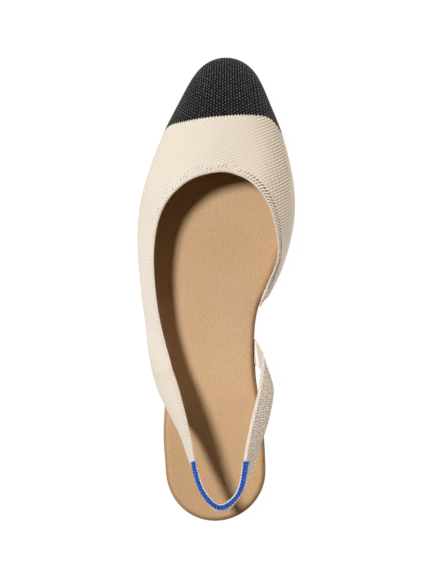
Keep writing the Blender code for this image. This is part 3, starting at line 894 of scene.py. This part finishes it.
def make_footbed(material):
    """Padded footbed with a rolled edge, from heel to toe."""
    around = loop_places(360)
    base = beside_footbed(around, -FOOTBED_EDGE_RADIUS / 2)
    rings = [np.column_stack([base, outsole_top(base[:, 1]) + GAP])]
    edge = beside_footbed(around, 0)
    low = footbed_top(edge[:, 0], edge[:, 1]) - ROLL_DROP - 0.0003
    rings.append(np.column_stack([edge, low]))
    for turn in np.linspace(0, 90, 12):
        inset = ROLL_WIDTH * (1 - math.cos(math.radians(turn)))
        drop = ROLL_DROP * (1 - math.sin(math.radians(turn)))
        line = beside_footbed(around, -inset)
        rings.append(np.column_stack([line, footbed_top(line[:, 0], line[:, 1]) - drop]))
    made = slab(
        "leather_footbed",
        rings,
        footbed_top,
        lambda x, y: outsole_top(y) + GAP,
        24,
        material,
    )

    # What the leather reads to paint shade on its roll: 1 on the roll's side, 0 from the roll's
    # inner line on
    roll_shade = np.zeros(len(made.data.vertices))
    levels = [1, 1] + [1 - turn / 90 for turn in np.linspace(0, 90, 12)]
    for number, level in enumerate(levels):
        roll_shade[number * len(around) : (number + 1) * len(around)] = level
    give(made, "roll", np.repeat(roll_shade[:, None], 3, axis=1))
    return made


def make_outsole(material):
    """Thin rubber sole with a low heel, flat on the floor under heel and ball."""
    around = loop_places(360)
    places, stands_out = rows(OUTSOLE_EDGE)
    ledge = np.interp(around, places, stands_out)
    rings = []
    for turn in np.linspace(0, 90, 5):
        inset = OUTSOLE_BEVEL * (1 - math.sin(math.radians(turn)))
        rise = OUTSOLE_BEVEL * (1 - math.cos(math.radians(turn)))
        line = beside_footbed(around, ledge - inset)
        rings.append(np.column_stack([line, outsole_bottom(line[:, 1]) + rise]))
    outer = beside_footbed(around, ledge)
    rings.append(np.column_stack([outer, outsole_top(outer[:, 1])]))
    return slab(
        "rubber_outsole",
        rings,
        lambda x, y: outsole_top(y),
        lambda x, y: outsole_bottom(y),
        16,
        material,
    )


# Stitches of the trim: their pitch, their radius, how far they lean, how much wider they
# are along the trim, and how many corners they have
STITCH_PITCH = 0.00160
STITCH_RADIUS = 0.00047
STITCH_LEAN = 0.0015
STITCH_WIDE = 1.52
STITCH_CORNERS = 8

# A stitch's path over the strap's rim, from a little way inside to further down outside.
# side: outwards, as a share of half the trim's seat; height: over the rim, in millimetres
STITCH_PATH = (
    # side, height
    (-0.10, -1.00),
    (-0.16, -0.60),
    (-0.20, -0.10),
    (-0.20, 0.26),
    (-0.08, 0.46),
    (0.20, 0.52),
    (0.56, 0.40),
    (0.95, 0.10),
    (1.22, -0.50),
    (1.28, -1.30),
    (1.26, -2.20),
    (1.15, -2.90),
    (0.50, -3.10),
)


# Distances below the rim at which the trim reads the strap's face
NEAR_RIM = (0.0034, 0.0017)


def trim_line():
    """The strap's rim under the trim: its middle, which way is out and which is up."""
    ribs, _, seated = upper_ribs(RIB_DENSITY)
    top = ribs[:, 3]
    carried = (np.arange(len(ribs)) >= seated) & (top[:, 1] < TRIM_REACH)
    first, last = np.flatnonzero(carried)[[0, -1]]
    chosen = slice(first, last + 1)
    below = np.array(NEAR_RIM)
    near_rim = np.array(
        [rib_points(rib, 1 - below / length) for rib, length in zip(ribs, rib_lengths(ribs))]
    )
    out = face_normals(np.concatenate([near_rim, top[:, None]], axis=1))[chosen, -1]
    up = unit(top - near_rim[:, 0])[chosen]
    return top[chosen] - out * WALL / 2, out, up


def make_trim(material):
    """Thick thread stitched over the strap's edge, loop beside loop."""
    middle, out, up = trim_line()
    run = run_along(middle)

    def at_run(at):
        """The rim's middle, its way out and its way up at a length along it."""
        found = [
            np.stack([np.interp(at, run, line[:, k]) for k in range(3)], axis=-1)
            for line in (middle, out, up)
        ]
        return found[0], unit(found[1]), unit(found[2])

    half = TRIM_SEAT / 2 + STITCH_RADIUS * 0.7
    sides, heights = rows(STITCH_PATH)
    sides = sides * half
    heights = heights / 1000
    lean = np.linspace(-0.5, 0.5, len(sides)) * STITCH_LEAN
    points = []
    faces = []
    # For each point: how far round to the stitch's side it lies, where the thread paints shade
    # between loops, a random tint, and how far along the stitch
    shades = []
    stitches = int(run[-1] / STITCH_PITCH)
    dice = np.random.default_rng(5)
    for number in range(stitches + 1):
        centre = run[-1] * number / stitches
        spot, sideways, upward = at_run(
            np.clip(centre + lean + dice.normal(0, 0.00004), 0, run[-1])
        )
        path = spot + sideways * sides[:, None] + upward * heights[:, None]
        swell = STITCH_RADIUS * (1 + dice.normal(0, 0.06))
        tint = dice.uniform(0, 1)
        along = unit(np.cross(sideways, upward))
        tangent = unit(np.gradient(path, axis=0))
        across = unit(np.cross(tangent, along))
        other = np.cross(tangent, across)
        base = len(points)
        for k in range(len(path)):
            for c in range(STITCH_CORNERS):
                angle = 2 * math.pi * c / STITCH_CORNERS
                radial = across[k] * math.cos(angle) + other[k] * math.sin(angle) * STITCH_WIDE
                points.append(path[k] + radial * swell)
                shades.append((abs(math.sin(angle)), tint, k / (len(path) - 1)))
        faces += tube_faces(base, len(path), STITCH_CORNERS)
        faces += end_faces(base, len(path), STITCH_CORNERS)

    # A band of the same yarn under the stitches, so that no knit shows between them, painted in
    # shade
    crest = abs(sides) < half * 0.7
    bed_sides = np.concatenate([sides * 0.86, np.clip(sides, -1.0e-4, 5.4e-4)[::-1]])
    bed_heights = np.concatenate([heights - 0.00014 * crest, (heights - 0.00034 * crest)[::-1]])
    slices = 2 * stitches
    base = len(points)
    for number in range(slices + 1):
        spot, sideways, upward = at_run(run[-1] * number / slices)
        for side, height in zip(bed_sides, bed_heights):
            points.append(spot + sideways * side + upward * height)
            shades.append((0.88, 0.3, 0.5))
    faces += tube_faces(base, slices + 1, len(bed_sides))
    faces += end_faces(base, slices + 1, len(bed_sides))
    made = mesh_object("thread_trim", np.array(points), faces, material, sharp=80)
    give(made, "ply", np.array(shades))
    return made


# Materials


class Number:
    """A number in a material's nodes, to be reckoned with as in plain sums."""

    def __init__(self, tree, socket):
        self.tree = tree
        self.socket = socket

    def reckon(self, operation, *others):
        """A new number from this one and others."""
        node = self.tree.nodes.new("ShaderNodeMath")
        node.operation = operation
        for slot, value in zip(node.inputs, (self, *others)):
            if isinstance(value, Number):
                self.tree.links.new(value.socket, slot)
            else:
                slot.default_value = value
        return Number(self.tree, node.outputs[0])

    def __add__(self, other):
        return self.reckon("ADD", other)

    def __sub__(self, other):
        return self.reckon("SUBTRACT", other)

    def __mul__(self, other):
        return self.reckon("MULTIPLY", other)

    def cos(self):
        """Its cosine."""
        return self.reckon("COSINE")

    def absolute(self):
        """Its size without its sign."""
        return self.reckon("ABSOLUTE")

    def at_most(self, other):
        """The lesser of two numbers."""
        return self.reckon("MINIMUM", other)

    def at_least(self, other):
        """The greater of two numbers."""
        return self.reckon("MAXIMUM", other)

    def wrapped(self, pitch):
        """How far it is from the nearest whole pitch, from -half to half of the pitch."""
        return self.reckon("WRAP", pitch / 2, -pitch / 2)

    def rest(self):
        """What it lacks to 1."""
        return self * -1 + 1

    def as_share(self):
        """It, kept from 0 to 1."""
        return self.at_least(0).at_most(1)

    def rise(self, start, end):
        """0 before the start, 1 after the end, and an even S between."""
        node = self.tree.nodes.new("ShaderNodeMapRange")
        node.interpolation_type = "SMOOTHSTEP"
        self.tree.links.new(self.socket, node.inputs["Value"])
        turned = start > end
        node.inputs["From Min"].default_value = end if turned else start
        node.inputs["From Max"].default_value = start if turned else end
        node.inputs["To Min"].default_value = 1 if turned else 0
        node.inputs["To Max"].default_value = 0 if turned else 1
        return Number(self.tree, node.outputs["Result"])


def new_material(name):
    """An empty material with its shader: the node tree and the shader node."""
    made = bpy.data.materials.new(name)
    made.use_nodes = True
    return made, made.node_tree, made.node_tree.nodes["Principled BSDF"]


def parts(tree, vector):
    """The three numbers of a vector."""
    node = tree.nodes.new("ShaderNodeSeparateXYZ")
    tree.links.new(vector, node.inputs[0])
    return [Number(tree, socket) for socket in node.outputs]


def stored(tree, name):
    """The three numbers that a piece stores under a name."""
    node = tree.nodes.new("ShaderNodeAttribute")
    node.attribute_name = name
    return parts(tree, node.outputs["Vector"])


def joined(tree, *numbers):
    """A vector from three numbers."""
    node = tree.nodes.new("ShaderNodeCombineXYZ")
    for slot, value in zip(node.inputs, numbers):
        if isinstance(value, Number):
            tree.links.new(value.socket, slot)
        else:
            slot.default_value = value
    return node.outputs[0]


def noise(tree, vector, scale, detail=3, roughness=0.55):
    """Smooth noise about 0, from about -1 to 1."""
    node = tree.nodes.new("ShaderNodeTexNoise")
    node.inputs["Scale"].default_value = scale
    node.inputs["Detail"].default_value = detail
    node.inputs["Roughness"].default_value = roughness
    tree.links.new(vector, node.inputs["Vector"])
    return (Number(tree, node.outputs["Fac"]) - 0.5) * 3


def place(tree):
    """The point on the object, in metres."""
    return tree.nodes.new("ShaderNodeTexCoord").outputs["Object"]


def blend(tree, share, first, second):
    """A colour between two, each a colour or another blend."""
    node = tree.nodes.new("ShaderNodeMix")
    node.data_type = "RGBA"
    tree.links.new(share.socket, node.inputs["Factor"])
    for slot, colour in ((node.inputs[6], first), (node.inputs[7], second)):
        if isinstance(colour, tuple):
            slot.default_value = (*colour, 1)
        else:
            tree.links.new(colour, slot)
    return node.outputs[2]


def raise_surface(tree, shader, height):
    """Bumps from a height in millimetres."""
    node = tree.nodes.new("ShaderNodeBump")
    node.inputs["Strength"].default_value = 1
    node.inputs["Distance"].default_value = 0.001
    tree.links.new(height.socket, node.inputs["Height"])
    tree.links.new(node.outputs["Normal"], shader.inputs["Normal"])


CREAM_PALE = (0.850, 0.805, 0.750)
# Painted shade for the collar's inside
INSIDE_SHADE = (0.500, 0.370, 0.245)
CREAM_LIGHT = (0.800, 0.732, 0.652)
CREAM_DEEP = (0.600, 0.514, 0.408)
# Dark of the knit's gaps, and painted shade in them
HOLE_AND_SHADE = (0.215, 0.128, 0.048)
WELT_HOLE = (0.240, 0.100, 0.018)
BLACK_LIGHT = (0.120, 0.115, 0.121)
BLACK_DEEP = (0.002, 0.002, 0.003)
LEATHER_LIGHT = (0.573, 0.368, 0.200)
LEATHER_DEEP = (0.472, 0.281, 0.128)
# Painted shade for the footbed's roll and for under the vamp's front
LEATHER_SHADE = (0.180, 0.086, 0.030)
RUBBER_DEEP = (0.012, 0.012, 0.014)
RUBBER_LIGHT = (0.028, 0.027, 0.028)
BLUE_DEEP = (0.001, 0.024, 0.19)
BLUE_LIGHT = (0.006, 0.142, 0.73)


def knit_material():
    """Cream knit with the black cap, its scalloped border and the collar's welt."""
    made, tree, shader = new_material("cream_and_black_knit")
    across, along, cap = stored(tree, "knit")
    arc, edge, ladder = stored(tree, "rim")
    lean, away_from_lamp, front = stored(tree, "kind")
    strap, outer_rim, tip = stored(tree, "zone")
    spot = place(tree)
    fuzz = noise(tree, spot, 2600, 2)
    patches = noise(tree, spot, 60, 3)
    yarn = noise(tree, joined(tree, across, along, strap), 0.75, 1)

    # Loops in half-drop columns, their grains drawn out along one diagonal
    jitter = noise(tree, spot, 330, 1)
    unruly = strap * 0.85 + 0.20
    column = across * (math.pi / COLUMN) + patches * 0.15 + jitter * unruly
    row = along * (2 * math.pi / ROW) + patches * 0.15 - jitter * unruly
    rising = (row - column).cos()
    falling = (row + column).cos()
    wales = (column * 2).cos()
    grains = rising * (lean * 0.30 + 0.46) + falling * (lean * -0.30 + 0.46)
    grains = grains + wales * (away_from_lamp * 0.24 + 0.10)
    tooth = column.cos().absolute() * -SCALLOP + yarn * 0.12
    in_cap = (cap + tooth).rise(-0.10, 0.10)
    out_of_cap = in_cap.rest()

    # The body's knit starts nearer the rim on the strap than on the collar
    body = (edge + strap * 3.1 + outer_rim * (strap * -1.8 + 1.8) - 4.4).rise(-0.4, 0.3)
    inside = edge.rise(-0.3, -0.9)
    shown = body.at_least(inside * 0.20).at_least(front * 0.40)
    near = (edge - 0.5).rise(-0.3, 0.2) * edge.rise(4.2, 3.6)

    # The ladder: slanted stitches with dark slots at both of their ends, and none on the
    # tip of the inner side
    tip_share = arc.rise(20, 9)
    ladder = ladder * tip_share.rest()
    rung = ((arc + edge * 0.55) * (2 * math.pi / LADDER_PITCH)).cos()
    slot = rung.rise(0.30, -0.25)
    far_end = edge.rise(2.6, 2.9) * edge.rise(4.1, 3.7)
    near_end = edge.rise(0.7, 0.9) * edge.rise(1.8, 1.5)
    between = edge.rise(0.9, 1.2) * edge.rise(3.6, 3.2)
    bold = arc.rise(95, 62) * 0.45 + arc.rise(62, 42) * 0.50 + 0.55
    slots = slot * (far_end + near_end * 0.70 + between * 0.30) * ladder * bold

    # A fringe, dashes and light strokes at the collar's front, dots on its outer side
    stroke = ((arc - edge * 0.2) * (2 * math.pi / STROKE_PITCH)).cos()
    fringe = stroke.rise(0.1, -0.5) * edge.rise(1.0, 0.6) * edge.rise(-0.5, -0.2) * front
    pair = ((arc + edge * 0.8) * (2 * math.pi / DASH_PITCH)).cos().rise(-0.2, -0.8)
    scatter = noise(tree, joined(tree, arc * 0.45, edge * 0.50, 0), 1.0, 1)
    band = edge.rise(1.5, 2.1) * edge.rise(5.4, 4.7) * front
    dashes = pair * scatter.rise(0.05, 0.33) * band
    strokes = pair.rest() * scatter.rise(-0.20, 0.12) * band
    dot_run = (arc * (2 * math.pi / DOT_PITCH) + yarn * 0.7).cos().rise(0.30, 0.90)
    dots = dot_run * edge.rise(0.9, 1.15) * edge.rise(1.85, 1.50) * outer_rim
    far_run = (arc * (2 * math.pi / FAR_DOT_PITCH) + yarn * 0.8).cos().rise(0.90, 0.985)
    far_dots = far_run * edge.rise(4.1, 4.4) * edge.rise(5.4, 5.0) * outer_rim
    far_dots = far_dots * strap.rest()

    # Fine bars across the strap's rim
    bar = ((arc + edge * 0.35) * (2 * math.pi / BAR_PITCH)).cos()
    bars = bar * edge.rise(2.6, 1.1) * edge.rise(-1.4, -0.8) * strap

    relief = grains * shown * (away_from_lamp * 0.060 + 0.038) * out_of_cap
    relief = relief + (grains * 0.05 + wales * 0.04) * in_cap
    height = relief + bars * 0.05 + rung * between * ladder * 0.10
    height = height + stroke * near * front * 0.035 - slots * 0.16 - dashes * 0.10
    height = height + strokes * 0.06 + rung * tip_share * edge.rise(0.7, 1.2) * 0.06
    height = height + fuzz * 0.010
    raise_surface(tree, shader, height)

    # Cream, its gaps and holes, with painted shade in the gaps
    gaps = (grains - away_from_lamp * 0.22 + yarn * 0.08).rise(-0.15, -0.70) * shown
    shade = (grains * shown * -0.33 + bars * -0.20 + patches * 0.05 + yarn * 0.07 + 0.30)
    shade = shade + fuzz * 0.05 - stroke * near * front * 0.16 - rung * between * ladder * 0.35
    # Painted shade on the collar's faces turned away from the lamp, and painted light on the
    # strap's
    shade = (shade + away_from_lamp * (strap * -0.32 + 0.12)).as_share()
    cream = blend(tree, shade, CREAM_LIGHT, CREAM_DEEP)
    # Dark gaps between the loops, with painted shade in them that deepens on faces turned away from
    # the lamp
    dark = gaps * (away_from_lamp * (strap * -0.10 + 0.72) + 0.06) * (yarn * 0.30 + 0.9)
    cream = blend(tree, dark.at_least(0).at_most(0.9), cream, HOLE_AND_SHADE)
    to_inner, to_toe, _ = parts(tree, spot)
    # Painted shade: a darker tan on the collar's inside towards the toe, where the shoe's interior
    # lies in shade
    shaded_inside = inside * strap.rest() * to_toe.rise(-0.040, 0.020)
    cream = blend(tree, shaded_inside * 0.50, cream, INSIDE_SHADE)
    # Paler cream: the light strokes, the ladder's stitches and the collar's outer side, and painted
    # light on the strap's inner face at the inner side and on the inner side's tip
    pale = (strokes * 0.8).at_least(inside * strap * to_inner.rise(-0.010, 0.020) * 0.9)
    pale = pale.at_least(rung.rise(0.1, 0.7) * between * ladder * 0.8)
    pale = pale.at_least(tip_share * 0.85).at_least(outer_rim * (strap * -0.25 + 0.25))
    cream = blend(tree, pale, cream, CREAM_PALE)
    ridge = rung.rise(0.30, -0.60) * tip_share * edge.rise(0.7, 1.2)
    cream = blend(tree, ridge * 0.42, cream, WELT_HOLE)
    marks = slots.at_least(dashes * 0.66).at_least(dots * 0.66).at_least(far_dots * 0.35)
    marks = marks.at_least(fringe * 0.45)
    cream = blend(tree, marks, cream, WELT_HOLE)

    # Black: highlights on the loops, deep between the columns
    ribbed = tip.at_least(across.rise(-16, -30))
    tone = grains * (ribbed * -0.14 + 0.44) + wales * (ribbed * 0.28 + 0.18)
    tone = tone + yarn * 0.44 + fuzz * 0.14 + 0.27
    tone = tone.as_share()
    black = blend(tree, tone * tone, BLACK_DEEP, BLACK_LIGHT)
    tree.links.new(blend(tree, in_cap, cream, black), shader.inputs["Base Color"])
    shader.inputs["Roughness"].default_value = 0.92
    shader.inputs["Specular IOR Level"].default_value = 0.15
    shader.inputs["Sheen Weight"].default_value = 0.06
    shader.inputs["Sheen Roughness"].default_value = 0.5
    return made


def leather_material():
    """Smooth tan leather with a fine pebbled grain, with painted shade on its roll, under the
    vamp's front and towards the heel.
    """
    made, tree, shader = new_material("tan_leather")
    spot = place(tree)
    roll = stored(tree, "roll")[0]
    patches = noise(tree, spot, 45, 4)
    fine = noise(tree, spot, 900, 4, 0.6)
    cells = tree.nodes.new("ShaderNodeTexVoronoi")
    cells.feature = "SMOOTH_F1"
    cells.inputs["Scale"].default_value = 760
    cells.inputs["Smoothness"].default_value = 0.6
    tree.links.new(spot, cells.inputs["Vector"])
    grain = Number(tree, cells.outputs["Distance"])
    height = grain * 0.115 + fine * 0.016
    raise_surface(tree, shader, height)
    x, y, _ = parts(tree, spot)
    # Painted shade: the leather darker towards the heel, away from the lit middle
    heel = y.rise(-0.050, -0.115)
    # Painted shade under the vamp's front, deep in the shoe
    deep = y.rise(0.054, 0.078)
    share = patches * 0.07 + fine * 0.13 + grain * 0.34 + heel * 0.34 + 0.13
    share = share.as_share()
    colour = blend(tree, share, LEATHER_LIGHT, LEATHER_DEEP)
    # Painted shade on the roll's side: less where the upper covers it, more on the inner side away
    # from the lamp
    covered = y.rise(-0.012, 0.006)
    shaded = x.rise(-0.034, 0.010) * 0.60 + 0.40
    painted_shade = (roll.rise(0.10, 0.60) * (covered * -0.80 + 0.88) * shaded).at_least(deep * 0.70)
    colour = blend(tree, painted_shade, colour, LEATHER_SHADE)
    tree.links.new(colour, shader.inputs["Base Color"])
    rough = (patches * 0.04 + grain * 0.10 + 0.46).as_share()
    tree.links.new(rough.socket, shader.inputs["Roughness"])
    shader.inputs["Specular IOR Level"].default_value = 0.35
    return made


def rubber_material():
    """Matt dark rubber with a fine tread of short bars under the sole."""
    made, tree, shader = new_material("dark_rubber")
    spot = place(tree)
    x, y, _ = parts(tree, spot)
    geometry = tree.nodes.new("ShaderNodeNewGeometry")
    under = parts(tree, geometry.outputs["True Normal"])[2].rise(-0.8, -0.95)
    fold = x.wrapped(TREAD_WIDTH).absolute()
    chevrons = ((y + fold) * (2 * math.pi / TREAD_PITCH)).cos().rise(-0.25, 0.25)
    dust = noise(tree, spot, 60, 4)
    fine = noise(tree, spot, 1500, 3)
    height = chevrons * under * 0.35 + fine * 0.01
    raise_surface(tree, shader, height)
    share = (dust * 0.2 + fine * 0.1 + 0.3).as_share()
    colour = blend(tree, share, RUBBER_DEEP, RUBBER_LIGHT)
    tree.links.new(colour, shader.inputs["Base Color"])
    rough = (dust * 0.06 + 0.62).as_share()
    tree.links.new(rough.socket, shader.inputs["Roughness"])
    return made


def thread_material():
    """Bright blue yarn, with painted shade where its loops meet and on the band under them."""
    made, tree, shader = new_material("blue_thread")
    spot = place(tree)
    side, tint, _ = stored(tree, "ply")
    fibres = noise(tree, spot, 1500, 3)
    tone = noise(tree, spot, 700, 2)
    raise_surface(tree, shader, fibres * 0.04)
    # Painted shade on each stitch's sides, where loops meet, and on the band under the stitches; a
    # random tint per stitch
    share = tone * 0.26 + fibres * 0.16 + tint * 0.26 + side.rise(0.99, 0.50) * 0.44 + 0.20
    share = share.as_share()
    colour = blend(tree, share, BLUE_DEEP, BLUE_LIGHT)
    tree.links.new(colour, shader.inputs["Base Color"])
    shader.inputs["Roughness"].default_value = 0.75
    shader.inputs["Specular IOR Level"].default_value = 0.3
    shader.inputs["Sheen Weight"].default_value = 0.10
    return made


# Floor, light and camera
FLOOR_REACH = 9.0
FLOOR_GLOW = 0.985
SUN_STRENGTH = 3.04
SUN_WIDTH = 9.5
SUN_FROM = (-0.36, 0.17, 1.0)
WALL_OUTER = (1.62, 1.54, 1.42)
WALL_INNER = (4.55, 4.10, 3.50)
WALL_BEHIND = (0.20, 0.14, 0.08)
CEILING = (0.026, 0.016, 0.008)
CAMERA_PLACE = (0.0611, 0.0002, 1.8)
CAMERA_LENS = 201.1


def make_floor():
    """Plain white floor."""
    mesh = bpy.data.meshes.new("floor")
    reach = FLOOR_REACH
    mesh.from_pydata(
        [(-reach, -reach, 0), (reach, -reach, 0), (reach, reach, 0), (-reach, reach, 0)],
        [],
        [(0, 1, 2, 3)],
    )
    made, _, shader = new_material("pale_floor")
    shader.inputs["Base Color"].default_value = (0.035, 0.035, 0.035, 1)
    shader.inputs["Roughness"].default_value = 0.9
    shader.inputs["Specular IOR Level"].default_value = 0.1
    shader.inputs["Emission Color"].default_value = (1, 1, 1, 1)
    shader.inputs["Emission Strength"].default_value = FLOOR_GLOW
    mesh.materials.append(made)
    floor = bpy.data.objects.new("floor", mesh)
    bpy.context.scene.collection.objects.link(floor)


def make_light():
    """A large soft lamp from the upper left, walls that are bright at the inner side and
    dark behind the heel, and a dim ceiling."""
    lamp = bpy.data.lights.new("key", "SUN")
    lamp.energy = SUN_STRENGTH
    lamp.angle = math.radians(SUN_WIDTH)
    lamp.color = (1.0, 0.985, 0.965)
    key = bpy.data.objects.new("key", lamp)
    key.rotation_mode = "QUATERNION"
    key.rotation_quaternion = Vector(SUN_FROM).to_track_quat("Z", "Y")
    bpy.context.scene.collection.objects.link(key)

    world = bpy.data.worlds.new("studio")
    world.use_nodes = True
    tree = world.node_tree
    light = tree.nodes["Background"]
    way = tree.nodes.new("ShaderNodeTexCoord").outputs["Generated"]
    sideways, forward, height = parts(tree, way)
    walls = blend(tree, sideways.rise(-0.3, 0.5), WALL_OUTER, WALL_INNER)
    behind = forward.rise(-0.25, -0.75) * 0.85
    walls = blend(tree, behind, walls, WALL_BEHIND)
    colour = blend(tree, height.rise(0.085, 0.26), walls, CEILING)
    tree.links.new(colour, light.inputs["Color"])
    bpy.context.scene.world = world


def make_camera():
    """Above the pair that the shoe belongs to, aimed at the shoe, toe upwards."""
    lens = bpy.data.cameras.new("camera")
    lens.sensor_fit = "AUTO"
    lens.sensor_width = 36
    lens.lens = CAMERA_LENS
    lens.clip_end = 30
    camera = bpy.data.objects.new("camera", lens)
    place_from = Vector(CAMERA_PLACE)
    backward = place_from.normalized()
    right = Vector((0, 1, 0)).cross(backward).normalized()
    upward = backward.cross(right)
    turn = Matrix((right, upward, backward)).transposed()
    camera.matrix_world = Matrix.Translation(place_from) @ turn.to_4x4()
    bpy.context.scene.collection.objects.link(camera)
    bpy.context.scene.camera = camera


def main():
    """Dresses the frame."""
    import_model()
    bpy.context.scene.view_settings.view_transform = "Standard"
    make_camera()
    make_light()
    make_floor()
    knit = knit_material()
    for made, node, slot in (
        (make_upper(knit), "upper", "knit"),
        (make_footbed(leather_material()), "footbed", "footbed_leather"),
        (make_outsole(rubber_material()), "outsole", "outsole_rubber"),
        (make_trim(thread_material()), "heel_trim", "blue_thread"),
    ):
        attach(made, "root")
        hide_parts(node)


main()
